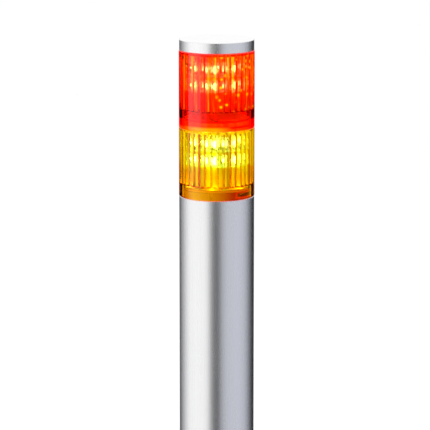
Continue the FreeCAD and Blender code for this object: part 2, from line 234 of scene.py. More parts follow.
def placeGroup(tree, group, **values):
    node = tree.nodes.new("ShaderNodeGroup")
    node.node_tree = group
    for key, value in values.items():
        node.inputs[key].default_value = value
    place = addNode(tree, "ShaderNodeTexCoord")
    tree.links.new(place.outputs["Object"], node.inputs["Vector"])
    return node.outputs


def newMaterial(name, **sockets):
    material = bpy.data.materials.new(name)
    material.use_nodes = True
    shader = material.node_tree.nodes["Principled BSDF"]
    for key, value in sockets.items():
        shader.inputs[key.replace("_", " ")].default_value = value
    return material, material.node_tree, shader


def feed(tree, shader, **sources):
    # Links each source to the shader's socket of that name
    for key, source in sources.items():
        tree.links.new(source, shader.inputs[key.replace("_", " ")])


def addBump(tree, shader, height, strength, depth, under=None):
    bump = addNode(tree, "ShaderNodeBump", Strength=strength, Distance=depth)
    tree.links.new(height, bump.inputs["Height"])
    if under:
        tree.links.new(under, bump.inputs["Normal"])
    feed(tree, shader, Normal=bump.outputs[0])
    return bump.outputs[0]


# A plain finish: two close colours, a roughness range and a bump, all from one grain
def makeFinish(name, look):
    material, tree, shader = newMaterial(name, Metallic=look.get("metallic", 0.0), IOR=1.5)
    grain = placeGroup(tree, grainGroup, Grain=look["grain"], Drift=80.0)
    feed(tree, shader, Base_Color=mixColour(tree, grain["Mask"], look["colour"], look["shade"]),
         Roughness=mapped(tree, grain["Mask"], *look["rough"]))
    addBump(tree, shader, grain["Height"], look["bump"], 2e-5)
    return material


# Stage

stageLook = {  # metres
    "floorSize": 8.0,
    "floorColour": 0.80,
    "floorGlow": 0.66,
    "ambient": 0.42,
    "ringRadius": 0.80,
    "ringSpan": (-1.2, 0.20),
    "ringSteps": 64,
    "coolShift": (-0.06, -0.027, 0.088),
    "flagRadius": 0.50,
    "flagSpan": (-0.6, 0.9),
    "flagTurn": (138, 166),  # degrees from the front
    "flagSteps": 12,
}


def rayKind(tree, *kinds):
    path = addNode(tree, "ShaderNodeLightPath")
    total = path.outputs[kinds[0]]
    for kind in kinds[1:]:
        total = maths(tree, "MAXIMUM", total, path.outputs[kind])
    return total


def newPaint(name):
    # An empty material for the stage, and the socket that takes its shader
    material = bpy.data.materials.new(name)
    material.use_nodes = True
    tree = material.node_tree
    tree.nodes.clear()
    out = addNode(tree, "ShaderNodeOutputMaterial")
    return material, tree, out.inputs["Surface"]


def makeWorld(look):
    world = bpy.data.worlds.new("studio")
    world.use_nodes = True
    scene.world = world
    tree = world.node_tree
    background = tree.nodes["Background"]
    background.inputs["Color"].default_value = (1, 1, 1, 1)
    seen = rayKind(tree, "Is Camera Ray", "Is Glossy Ray", "Is Transmission Ray")
    tree.links.new(mapped(tree, seen, look["ambient"], 1.0), background.inputs["Strength"])


def makeFloor(look):
    bm = bmesh.new()
    bmesh.ops.create_grid(bm, x_segments=1, y_segments=1, size=look["floorSize"])
    material, tree, surface = newPaint("floorPaper")
    paper = addNode(tree, "ShaderNodeBsdfDiffuse", Color=(look["floorColour"],) * 3 + (1,))
    glow = addNode(tree, "ShaderNodeEmission", Color=(1, 1, 1, 1))
    both = addNode(tree, "ShaderNodeAddShader")
    seen = rayKind(tree, "Is Camera Ray", "Is Transmission Ray")
    tree.links.new(mapped(tree, seen, 0.0, look["floorGlow"]), glow.inputs["Strength"])
    tree.links.new(paper.outputs[0], both.inputs[0])
    tree.links.new(glow.outputs[0], both.inputs[1])
    tree.links.new(both.outputs[0], surface)
    floor = newPiece("floor", bm, material)
    hideFrom(floor, "glossy")


# What shows in the metal: azimuth from the front towards +X, then brightness and coolness.
# The key lamp fills the gap from -95 to -50, and the soft lamp adds to -50 to -30.
ringStops = [(-180, 0.02, 0.3), (-150, 0.10, 0.3), (-122, 0.48, 0.3), (-104, 0.84, 0.1), (-96.5, 0.96, 0.0),
             (-94.5, 0.07, 0.0), (-50.5, 0.07, 0.0), (-48.5, 0.84, 0.0), (-40, 0.82, 0.0), (-30.5, 0.74, 0.0),
             (-28.5, 0.94, 0.0), (-15, 0.26, 0.2), (-4, 0.11, 0.3), (6, 0.11, 0.5),
             (14, 0.42, 0.8), (30, 0.60, 0.9), (72, 0.64, 1.0), (92, 0.56, 1.0), (108, 0.38, 1.0),
             (120, 0.20, 1.0), (135, 0.03, 1.0), (180, 0.02, 0.3)]


def makeRing(look, stops):
    # A tall dark and light surround that only shiny surfaces see
    bm = bmesh.new()
    spinFull(bm, uprightEdge(bm, look["ringRadius"], *look["ringSpan"]), look["ringSteps"])
    material, tree, surface = newPaint("ringPaint")
    at = objectPlace(tree)[1]
    azimuth = maths(tree, "ARCTAN2", at["X"], maths(tree, "MULTIPLY", at["Y"], -1.0))
    ramp = addNode(tree, "ShaderNodeValToRGB")
    tree.links.new(mapped(tree, azimuth, 0.0, 1.0, -math.pi, math.pi), ramp.inputs[0])
    stripes = ramp.color_ramp.elements
    for i, (turn, bright, cool) in enumerate(stops):
        position = (turn + 180) / 360
        stripe = stripes[i] if i < 2 else stripes.new(position)
        stripe.position = position
        stripe.color = (*(bright * (1 + cool * shift) for shift in look["coolShift"]), 1)
    paint = addNode(tree, "ShaderNodeEmission", Strength=1.0)
    tree.links.new(ramp.outputs[0], paint.inputs["Color"])
    tree.links.new(paint.outputs[0], surface)
    ring = newPiece("ring", bm, material)
    hideFrom(ring, "camera", "diffuse", "shadow", "transmission")
    return ring


def makeFlag(name, look, side):
    # Black card round one side, seen only through the lenses, so their edges go dark
    bm = bmesh.new()
    geom = uprightEdge(bm, look["flagRadius"], *look["flagSpan"])
    first, last = (math.radians(side * turn) for turn in look["flagTurn"])
    turnAll(bm, first)
    bmesh.ops.spin(bm, geom=geom, cent=(0, 0, 0), axis=(0, 0, 1), angle=last - first, steps=look["flagSteps"])
    material, tree, surface = newPaint("flagPaint")
    paint = addNode(tree, "ShaderNodeBsdfDiffuse", Color=(0.01, 0.01, 0.01, 1))
    tree.links.new(paint.outputs[0], surface)
    flag = newPiece(name, bm, material)
    hideFrom(flag, "camera", "diffuse", "glossy", "shadow")


lampLooks = {  # metres
    "keyLamp": {"radiance": 0.97, "size": (0.62, 1.6), "place": (-0.70, -0.22, 0.0), "aim": (0, 0, 0),
                "hidden": ()},
    "softLamp": {"radiance": 0.22, "size": (0.27, 1.6), "place": (-0.478, -0.578, 0.0), "aim": (0, 0, 0),
                 "hidden": ()},
    "fillLamp": {"radiance": 0.6, "size": (0.8, 1.1), "place": (1.0, -0.5, 0.6), "aim": (0, 0, 0.1),
                 "hidden": ("glossy", "transmission")},
}


def addLamp(name, look):
    lamp = bpy.data.lights.new(name, "AREA")
    lamp.shape = "RECTANGLE"
    lamp.size, lamp.size_y = look["size"]
    lamp.energy = look["radiance"] * math.pi * lamp.size * lamp.size_y
    holder = bpy.data.objects.new(name, lamp)
    holder.location = look["place"]
    holder.rotation_euler = (Vector(look["place"]) - Vector(look["aim"])).to_track_quat("Z", "Y").to_euler()
    hideFrom(holder, *look["hidden"])
    scene.collection.objects.link(holder)


# Distance and aim in metres, tilt in degrees, lens and sensor in millimetres
cameraLook = {"distance": 1.10, "tilt": 10.62, "aim": (-0.00068, 0.0, 0.0988), "lens": 231.0, "sensor": 36}


def addCamera(look):
    tilt = math.radians(look["tilt"])
    camera = bpy.data.cameras.new("camera")
    camera.lens = look["lens"]
    camera.sensor_width = look["sensor"]
    camera.clip_start = 0.05
    camera.clip_end = 50
    holder = bpy.data.objects.new("camera", camera)
    holder.location = Vector(look["aim"]) + look["distance"] * Vector((0, -math.cos(tilt), math.sin(tilt)))
    holder.rotation_euler = (math.pi / 2 - tilt, 0, 0)
    scene.collection.objects.link(holder)
    scene.camera = holder


addCamera(cameraLook)
makeWorld(stageLook)
makeFloor(stageLook)
ring = makeRing(stageLook, ringStops)
makeFlag("leftFlag", stageLook, -1)
makeFlag("rightFlag", stageLook, 1)
for name, look in lampLooks.items():
    addLamp(name, look)
print("stage ready")


# Lenses

# Heights are from the lens's lower edge, and glowStart to glowSoft are shares of the streaks' mask.
# The window, where a painted shadow of the collar's window lies in a painted lit frame, is its left, right,
# bottom and top.
# Most of these values paint light onto the lens as emission: glow along the ribs, glints, glow at the lower
# edge and in the band, and a shadow at the collar's window
lensLooks = {
    "red": {"node": "red_lens", "slot": "red_lens_plastic", "band": 7.3, "foot": 0.0, "ledDrop": 10.2,
            "colour": (1.0, 0.35, 0.12), "shade": (0.98, 0.31, 0.10), "sheen": 1.0,
            "dye": (0.997, 0.33, 0.04), "dyeDensity": 1500.0,
            "marks": 9000.0, "markDepth": 3e-5, "streaks": 1000.0,
            "glowLift": 2.5, "glowReach": (6.0, 8.5), "glowStart": 0.60, "glowEnd": 0.78, "glowSoft": 0.14,
            "paintedGlowNear": (0.35, 7.5, 0.0), "paintedGlowFar": (0.50, 0.001, 0.0),
            "limb": 0.8, "limbNear": 0.65, "farStreak": 0.6, "valleyGlow": 0.2,
            "glints": 400.0, "glintSize": (0.18, 0.28), "glintGlow": (0.8, 10.0, 0.0),
            "edge": (0.60, 0.30, 0.0), "edgeFar": (0.50, 0.001, 0.0), "edgeSpan": (0.0, 6.0),
            "edgeHeight": 2.0, "bandGlow": (0.25, 0.0, 0.0), "bandHeight": 4.1, "rim": 1.3},
    "amber": {"node": "amber_lens", "slot": "amber_lens_plastic", "band": 5.0, "foot": 3.0, "ledDrop": 9.3,
              "colour": (0.97, 0.80, 0.15), "shade": (0.95, 0.76, 0.13), "sheen": 0.3,
              "dye": (0.99, 0.87, 0.15), "dyeDensity": 1500.0,
              "marks": 9000.0, "markDepth": 3e-5, "streaks": 700.0,
              "glowLift": 2.0, "glowReach": (7.0, 9.5), "glowStart": 0.30, "glowEnd": 0.78, "glowSoft": 0.30,
              "paintedGlowNear": (0.35, 0.85, 0.0), "paintedGlowFar": (0.50, 0.85, 0.0),
              "limb": 0.35, "limbNear": 1.0, "farStreak": 0.0, "valleyGlow": 0.0,
              "edge": (0.40, 0.24, 0.0), "edgeFar": (0.16, 0.0, 0.0), "edgeSpan": (-11.0, 6.0),
              "edgeHeight": 4.6, "bandGlow": (0.0, 0.0, 0.0), "bandHeight": 4.8, "rim": 0.0,
              "window": (7.9, 13.2, 1.2, 2.7),
              "windowFrame": (0.34, 0.0, 0.0), "windowShade": (0.04, 0.0, 0.0)},
}
# Where each effect starts and ends: inside and crest by radius, the next five by how far to the side.
# The last four are how wide a change is.
lensZones = {"inside": (13.6, 13.8), "crest": (12.93, 13.18), "limb": (8.0, 13.0), "limbNear": (7.0, 11.0),
             "glints": (-2.0, 0.0), "leftEdge": (-12.5, -8.5), "edgeEnds": (12.3, 12.9),
             "ribRise": 1.0, "fade": 0.4, "frame": 0.6, "frameSoft": 0.15}
lensShape = {"outer": 15.0, "valley": 13.4, "crest": 12.9, "neck": 13.1, "neckBore": 11.2, "neckHeight": 3.0,
             "groove": 12.4, "grooveSpan": (0.7, 1.9), "roof": 1.2, "foot": 14.1,
             "ease": 0.4, "roofEase": 0.15,
             "ribs": 36, "turn": 1.5, "soft": 0.07, "stepsPerRib": 16, "runOut": 0.3, "runOutSteps": 8}


def markRibs(tree, shader, look, ribs, height):
    # Fine tool marks across the ribs, worn away in places, with the plastic's own grain over them
    marks = placeGroup(tree, streakGroup, Scale=look["marks"], Stretch=(0.02, 0.02, 1.0))
    patches = placeGroup(tree, grainGroup, Grain=2500.0, Drift=900.0)
    worn = mapped(tree, patches["Mask"], 0.0, 1.0, 0.5, 0.6)
    under = addBump(tree, shader, product(tree, ribs, marks["Height"], worn), 1.0, look["markDepth"])
    addBump(tree, shader, height, 0.06, 1e-5, under)


def paintedRibGlow(tree, look, point, at, ledZ):
    # Painted glow along the ribs, standing in for the LEDs' light caught in them: streaks that thin out away
    # from the LEDs and dim towards the sides
    away = maths(tree, "ABSOLUTE", maths(tree, "SUBTRACT", at["Z"], ledZ + look["glowLift"] * mm))
    streaks = placeGroup(tree, streakGroup, Scale=look["streaks"], Stretch=(1.0, 1.0, 0.03))["Mask"]
    narrowing = mappedOver(tree, away, look["glowStart"], look["glowEnd"], look["glowReach"])
    lit = mapped(tree, maths(tree, "SUBTRACT", streaks, narrowing), 0.0, 1.0, 0.0, look["glowSoft"])
    outward = maths(tree, "ABSOLUTE", at["X"])
    even = product(tree, mappedOver(tree, outward, 1.0, look["limb"], lensZones["limb"]),
                   mapped(tree, streaks, look["farStreak"], 1.0, 0.2, 0.8))
    dim = mixColour(tree, even, (0.0, 0.0, 0.0), look["paintedGlowFar"])
    lit = product(tree, lit, mappedOver(tree, outward, 1.0, look["limbNear"], lensZones["limbNear"]))
    ribGlow = mixColour(tree, lit, dim, look["paintedGlowNear"])
    if "glints" in look:
        # painted glints: a few spots on one side, standing in for an LED that a rib throws back
        glints = addNode(tree, "ShaderNodeTexVoronoi", Scale=look["glints"])
        tree.links.new(point, glints.inputs["Vector"])
        spot = product(tree, mapped(tree, glints.outputs["Distance"], 1.0, 0.0, *look["glintSize"]),
                       mappedOver(tree, at["X"], 0.0, 1.0, lensZones["glints"]))
        ribGlow = mixColour(tree, spot, ribGlow, look["glintGlow"])
    return ribGlow


def between(tree, value, low, high, base=0.0):
    # 1 from low to high, in millimetres from base, and 0 outside them
    soft = lensZones["frameSoft"]
    return product(tree, mappedOver(tree, value, 0.0, 1.0, (low - soft, low + soft), base),
                   mappedOver(tree, value, 1.0, 0.0, (high - soft, high + soft), base))


def paintedEdgeGlow(tree, look, at, base):
    # Painted glow at the lower edge, standing in for light led down to it, brighter on one side
    across = maths(tree, "MAXIMUM", mappedOver(tree, at["X"], 0.0, 1.0, look["edgeSpan"]),
                   mappedOver(tree, at["X"], 0.85, 0.0, lensZones["leftEdge"]))
    edge = mixColour(tree, across, look["edge"], look["edgeFar"])
    if "window" in look:
        # painted shadow of the collar's window behind the edge, in a painted lit frame
        start, end, bottom, top = look["window"]
        for spare, colour in ((lensZones["frame"], look["windowFrame"]), (0.0, look["windowShade"])):
            wide = between(tree, at["X"], start - spare, end + spare)
            tall = between(tree, at["Z"], bottom - spare, top + spare, base)
            edge = mixColour(tree, product(tree, wide, tall), edge, colour)
    low = mappedOver(tree, at["Z"], 1.0, 0.0, (0.6 * look["edgeHeight"], look["edgeHeight"]), base)
    rim = mappedOver(tree, at["Z"], 1.0, 0.0, (look["rim"] - lensZones["fade"], look["rim"]), base)
    ends = mappedOver(tree, maths(tree, "ABSOLUTE", at["X"]), 1.0, 0.0, lensZones["edgeEnds"])
    kept = maths(tree, "MAXIMUM", rim, ends)
    # painted glow in the smooth band, with the painted edge glow near the lower edge
    return mixColour(tree, product(tree, low, kept), look["bandGlow"], edge)


def makeLensPlastic(name, look, base, ledZ):
    material, tree, shader = newMaterial(name, IOR=1.58, Transmission_Weight=1.0, Emission_Strength=1.0,
                                         Specular_Tint=(look["sheen"],) * 3 + (1,))
    grain = placeGroup(tree, grainGroup, Grain=1400.0, Drift=130.0)
    point, at = objectPlace(tree)
    radius = radiusFrom(tree, point)
    inside = mappedOver(tree, radius, 1.0, 0.0, lensZones["inside"])
    rise = (look["band"], look["band"] + lensZones["ribRise"])
    ribs = product(tree, inside, mappedOver(tree, at["Z"], 0.0, 1.0, rise, base))
    markRibs(tree, shader, look, ribs, grain["Height"])
    # painted glow on the ribs, brighter on their crests than in their valleys
    crest = product(tree, mappedOver(tree, radius, 1.0, look["valleyGlow"], lensZones["crest"]), ribs)
    glow = mixColour(tree, crest, (0.0, 0.0, 0.0), paintedRibGlow(tree, look, point, at, ledZ))
    # below the band's top the emission paints the edge and band glow, above it the rib glow
    bandTop = (look["bandHeight"] - lensZones["fade"], look["bandHeight"])
    band = mappedOver(tree, at["Z"], 1.0, 0.0, bandTop, base)
    feed(tree, shader, Base_Color=mixColour(tree, grain["Mask"], look["colour"], look["shade"]),
         Roughness=mapped(tree, grain["Mask"], 0.015, 0.05),
         Emission_Color=mixColour(tree, band, glow, paintedEdgeGlow(tree, look, at, base)))
    # dyed right through, so long paths along the wall go deep in colour
    dye = addNode(tree, "ShaderNodeVolumeAbsorption", Color=(*look["dye"], 1), Density=look["dyeDensity"])
    tree.links.new(dye.outputs[0], tree.nodes["Material Output"].inputs["Volume"])
    return material


def ribRadius(turn, shape):
    # Radius of the ribs' inner face at an angle from the nearest crest
    half = math.pi / shape["ribs"]
    valley, crest = shape["valley"], shape["crest"]
    across = valley * math.cos(half)
    centre = (valley ** 2 - crest ** 2) / (2 * (across - crest))
    bulge = centre - crest
    arc = centre * math.cos(turn) - math.sqrt(bulge ** 2 - (centre * math.sin(turn)) ** 2)
    # the tool leaves the valleys slightly rounded
    soft = shape["soft"]
    return -soft * math.log(math.exp(-arc / soft) + math.exp(-(valley - soft) / soft))


def lensProfile(look, shape, base, top):
    # The wall cut through, from the lower edge up the outside, over the neck and down the ribs
    outer, valley, neck, bore = shape["outer"], shape["valley"], shape["neck"], shape["neckBore"]
    ease, roofEase = shape["ease"], shape["roofEase"]
    groove = shape["groove"]
    grooveLow, grooveHigh = (top + height for height in shape["grooveSpan"])
    neckTop = top + shape["neckHeight"]
    ribStart, ribEnd = base + look["band"], top - shape["roof"]
    slope, steps = valley - shape["crest"] + shape["runOut"], shape["runOutSteps"]
    points = arcPoints((outer - ease, base + ease), ease, -90, 0, 6)
    points += [(outer, base + ease + roofEase), (outer, top - 2 * roofEase)]
    points += arcPoints((outer - roofEase, top - roofEase), roofEase, 0, 90, 3)
    points += [(neck + 0.2, top), (neck, top + 0.05), (neck, grooveLow), (groove, grooveLow),
               (groove, grooveHigh), (neck, grooveHigh), (neck, neckTop - 0.3), (neck - 0.3, neckTop),
               (bore, neckTop), (bore, ribEnd), (valley, ribEnd), (valley, ribEnd - 0.4)]
    # the ribs run out towards the smooth band
    points.append((valley, ribStart + slope + 0.2))
    points += [(valley, ribStart + slope * (1 - i / steps)) for i in range(steps + 1)]
    points.append((valley, ribStart - shape["runOut"]))
    if look["foot"]:
        foot, bottom = shape["foot"], base - look["foot"]
        return points + [(valley, bottom), (foot - 0.2, bottom), (foot, bottom + 0.2),
                         (foot, base - 0.05), (foot + 0.05, base)]
    return points + [(valley, base + 0.05), (valley + 0.05, base)]


def cutRibs(bm, shape, start, end):
    # Moves the points of the inner face in from the valleys' radius to the ribs' own
    valley = shape["valley"]
    pitch = 2 * math.pi / shape["ribs"]
    for vert in bm.verts:
        reach = math.hypot(vert.co.x, vert.co.y)
        if abs(reach - valley) < 1e-3 and start - 1e-4 < vert.co.z < end + 1e-4:
            azimuth = math.atan2(vert.co.x, -vert.co.y)
            turn = (azimuth % pitch) - pitch / 2
            inner = max(ribRadius(turn, shape), valley - (vert.co.z - start))
            vert.co.x *= inner / reach
            vert.co.y *= inner / reach


def makeLens(name, look, shape):
    low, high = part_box(look["node"])
    base = low.z / mm + look["foot"]
    top = high.z / mm - shape["neckHeight"]
    bm = bmesh.new()
    geom = outline(bm, lensProfile(look, shape, base, top))
    spinFull(bm, geom, shape["ribs"] * shape["stepsPerRib"])
    cutRibs(bm, shape, base + look["band"], top - shape["roof"])
    turnAll(bm, math.radians(shape["turn"]))
    toMetres(bm)
    bmesh.ops.recalc_face_normals(bm, faces=bm.faces)
    plastic = makeLensPlastic(name + "Plastic", look, base * mm, (top - look["ledDrop"]) * mm)
    return addPiece(newPiece(name, bm, plastic, 40), look["slot"], look["node"])


def keepFrom(stagePiece, *pieces):
    # The ring shows in the metal only, not as a haze over the lenses
    skipped = bpy.data.collections.new(stagePiece.name + "Skips")
    stagePiece.light_linking.receiver_collection = skipped
    for piece in pieces:
        skipped.objects.link(piece)
    for entry in skipped.collection_objects:
        entry.light_linking.link_state = "EXCLUDE"


lenses = [makeLens(tier + "Lens", look, lensShape) for tier, look in lensLooks.items()]
keepFrom(ring, *lenses)
print("lenses ready")


# LEDs

# Powers are watts, and lowDrop is how far the low lamps hang under the lower row
ledLooks = {
    "red": {"slot": "red_led", "glow": (0.25, 0.50, 1.0), "strength": 120.0,
            "epoxy": (1.0, 0.75, 0.65), "lamp": (1.0, 0.06, 0.0), "lampPower": 0.012,
            "lowLamp": (1.0, 0.01, 0.0), "lowPower": 0.03, "lowDrop": 14.7},
    "amber": {"slot": "amber_led", "glow": (0.067, 0.183, 1.0), "strength": 120.0,
              "epoxy": (1.0, 0.95, 0.8), "lamp": (0.30, 1.0, 0.04), "lampPower": 0.0012,
              "lowLamp": (1.0, 0.30, 0.0), "lowPower": 0.003, "lowDrop": 10.7},
}
ledShape = {"count": 6, "turn": -10.0, "back": 4.2, "body": 1.5, "shoulder": 3.2,
            "flange": 1.9, "flangeDeep": 0.9, "flangeEase": 0.12, "fillet": 0.08,
            "leadGap": 1.27, "leadWidth": 0.45, "leadEase": 0.05, "reach": 0.95, "drop": 2.7,
            "inner": 1.1, "chip": 1.75, "blob": 0.72, "lampReach": 11.3, "lampSize": 1.0}


def makeEpoxy(name, look):
    material, tree, shader = newMaterial(name, IOR=1.52, Transmission_Weight=1.0)
    grain = placeGroup(tree, grainGroup, Grain=1800.0, Drift=300.0)
    pale = tuple(0.5 + 0.5 * c for c in look["epoxy"])
    feed(tree, shader, Base_Color=mixColour(tree, grain["Mask"], look["epoxy"], pale),
         Roughness=mapped(tree, grain["Mask"], 0.03, 0.09))
    addBump(tree, shader, grain["Height"], 0.05, 1e-5)
    return material


def makeGlow(name, look):
    material, tree, shader = newMaterial(name, Roughness=0.5, Emission_Color=(*look["glow"], 1),
                                         Emission_Strength=look["strength"])
    grain = placeGroup(tree, grainGroup, Grain=5000.0, Drift=900.0)
    feed(tree, shader, Base_Color=mixColour(tree, grain["Mask"], (0.95, 0.9, 0.7), (0.85, 0.75, 0.5)))
    addBump(tree, shader, grain["Height"], 0.2, 1e-5)
    return material


def addBlock(bm, x, y, z):
    made = bmesh.ops.create_cube(bm, size=1.0)["verts"]
    bmesh.ops.scale(bm, verts=made, vec=(x[1] - x[0], y[1] - y[0], z[1] - z[0]))
    bmesh.ops.translate(bm, verts=made, vec=((x[0] + x[1]) / 2, (y[0] + y[1]) / 2, (z[0] + z[1]) / 2))


def ledBody(shape):
    # Epoxy body and dome, spun about its own axis
    body, shoulder = shape["body"], shape["shoulder"]
    flange, deep = shape["flange"], shape["flangeDeep"]
    ease, fillet = shape["flangeEase"], shape["fillet"]
    points = [(0, 0), (0, flange - ease), (ease, flange), (deep - ease, flange), (deep, flange - ease),
              (deep, body + fillet), (deep + fillet, body), (shoulder - 0.2, body)]
    points += arcPoints((shoulder, 0), body, 90, 0, 10)
    bm = bmesh.new()
    spinFull(bm, outline(bm, points, False), 32, (1, 0, 0))
    return bm


def ledFrame(shape):
    # The cup that holds the chip, then the leads, the post under the cup and the other lead's tip
    chip, reach, inner, gap = shape["chip"], shape["reach"], shape["inner"], shape["leadGap"]
    half = shape["leadWidth"] / 2
    cup = [(chip - 1.0, 0), (chip - 1.0, 0.45), (chip - 0.3, 0.78), (chip - 0.3, 0.66),
           (chip - 0.5, 0.5), (chip - 0.5, 0)]
    bm = bmesh.new()
    spinFull(bm, outline(bm, cup, False), 24, (1, 0, 0))
    cupEdges = set(bm.edges)
    for y in (-gap, gap):
        addBlock(bm, (-reach, inner), (y - half, y + half), (-half, half))
        addBlock(bm, (-reach, 2 * half - reach), (y - half, y + half), (-shape["drop"], 0))
    addBlock(bm, (0.7, inner), (-gap, -0.3), (-half, half))
    addBlock(bm, (inner, 1.3), (0.95, gap - half), (-half, half))
    edges = [edge for edge in bm.edges if edge not in cupEdges]
    bmesh.ops.bevel(bm, geom=edges, affect="EDGES", offset=shape["leadEase"], segments=1, profile=0.5,
                    material=-1)
    return bm


def ledChip(shape):
    # Lit chip under its blob
    chip = shape["chip"]
    points = [(chip - 0.5, 0), (chip - 0.5, 0.5), (chip - 0.35, 0.58)]
    points += arcPoints((chip + 0.1, 0), shape["blob"], 90, 0, 6)
    bm = bmesh.new()
    spinFull(bm, outline(bm, points, False), 20, (1, 0, 0))
    return bm


def rowOut(bm, side, rowZ, shape):
    # Copies one LED's part, lying along +X, to every place in its row
    geom = bm.verts[:] + bm.edges[:] + bm.faces[:]
    if side < 0:
        turnAll(bm, math.pi, "X")
    bmesh.ops.translate(bm, verts=bm.verts, vec=(shape["back"], 0, rowZ))
    turnAll(bm, math.radians(shape["turn"] - 90))
    copies = shape["count"] - 1
    bmesh.ops.spin(bm, geom=geom, cent=(0, 0, 0), axis=(0, 0, 1), angle=2 * math.pi / shape["count"] * copies,
                   steps=copies, use_duplicate=True)
    toMetres(bm)
    return bm


def makeLedRow(tier, row, slot, shape):
    side = 1 if row == "upper" else -1
    node = f"{tier}_leds_{row}"
    low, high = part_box(node)
    rowZ = high.z / mm - shape["flange"] if side > 0 else low.z / mm + shape["flange"]
    name = tier + "Leds" + row.capitalize()
    body, frames, chips = (rowOut(part(shape), side, rowZ, shape) for part in (ledBody, ledFrame, ledChip))
    addPiece(newPiece(name, body, epoxies[tier], 30), slot, node)
    addPiece(newPiece(name + "Frames", frames, ledLeadTin, 30))
    addPiece(newPiece(name + "Chips", chips, glows[tier], 30), slot)
    return rowZ


def addLampRing(name, colour, power, z, shape):
    # Carries the LEDs' light on to the holder and the boards round it
    reach = shape["lampReach"] * mm
    for i in range(shape["count"]):
        azimuth = math.radians(shape["turn"] + 360 * i / shape["count"])
        lamp = bpy.data.lights.new(name, "POINT")
        lamp.color = colour
        lamp.energy = power
        lamp.shadow_soft_size = shape["lampSize"] * mm
        holder = bpy.data.objects.new(name, lamp)
        holder.location = (reach * math.sin(azimuth), -reach * math.cos(azimuth), z * mm)
        hideFrom(holder, "camera", "glossy", "transmission")
        scene.collection.objects.link(holder)


ledLeadTin = makeFinish("ledLeadTin", {"colour": (0.80, 0.80, 0.79), "shade": (0.68, 0.68, 0.68),
                                       "metallic": 1.0, "rough": (0.22, 0.4), "grain": 3000.0, "bump": 0.1})
epoxies = {tier: makeEpoxy(tier + "LedEpoxy", look) for tier, look in ledLooks.items()}
glows = {tier: makeGlow(tier + "LedGlow", look) for tier, look in ledLooks.items()}
for tier, look in ledLooks.items():
    for row in ("upper", "lower"):
        rowZ = makeLedRow(tier, row, look["slot"], ledShape)
        addLampRing(tier + "LedLamp", look["lamp"], look["lampPower"], rowZ, ledShape)
    addLampRing(tier + "LowLamp", look["lowLamp"], look["lowPower"], rowZ - look["lowDrop"], ledShape)
print("LEDs ready")


# Finishes for the CAD pieces

metalLook = {"node": "cap", "colour": (0.90, 0.90, 0.905), "shade": (0.86, 0.86, 0.87), "rough": (0.24, 0.30),
             "faced": (0.99, 0.99, 0.99), "facedShade": (0.955, 0.955, 0.955), "facedGloss": 0.16,
             "facedSpan": (-0.15, -0.05)}


# Satin anodised, drawn along its sides and faced on the cap's flat top
def makeAnodised(name, look):
    material, tree, shader = newMaterial(name, Metallic=1.0)
    grain = placeGroup(tree, grainGroup, Grain=4500.0, Drift=45.0)
    streak = placeGroup(tree, streakGroup, Scale=1500.0, Stretch=(1.0, 1.0, 0.01))
    mask = maths(tree, "MULTIPLY", maths(tree, "ADD", grain["Mask"], streak["Mask"]), 0.5)
    point, at = objectPlace(tree)
    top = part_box(look["node"])[1].z
    faced = mappedOver(tree, at["Z"], 0.0, 1.0, look["facedSpan"], top)
    turned = addNode(tree, "ShaderNodeTexNoise", noise_dimensions="1D", Scale=4000.0, Detail=3.0)
    tree.links.new(radiusFrom(tree, point), turned.inputs["W"])
    drawn = mixColour(tree, mask, look["colour"], look["shade"])
    rings = mapped(tree, turned.outputs[0], 0.0, 1.0, 0.35, 0.65)
    rings = mixColour(tree, rings, look["faced"], look["facedShade"])
    satin = mapped(tree, mask, *look["rough"])
    gloss = mapped(tree, faced, 0.0, look["facedGloss"])
    feed(tree, shader, Base_Color=mixColour(tree, faced, drawn, rings),
         Roughness=maths(tree, "SUBTRACT", satin, gloss))
    under = addBump(tree, shader, streak["Height"], 0.02, 1e-5)
    addBump(tree, shader, grain["Height"], 0.07, 1e-5, under)
    return material


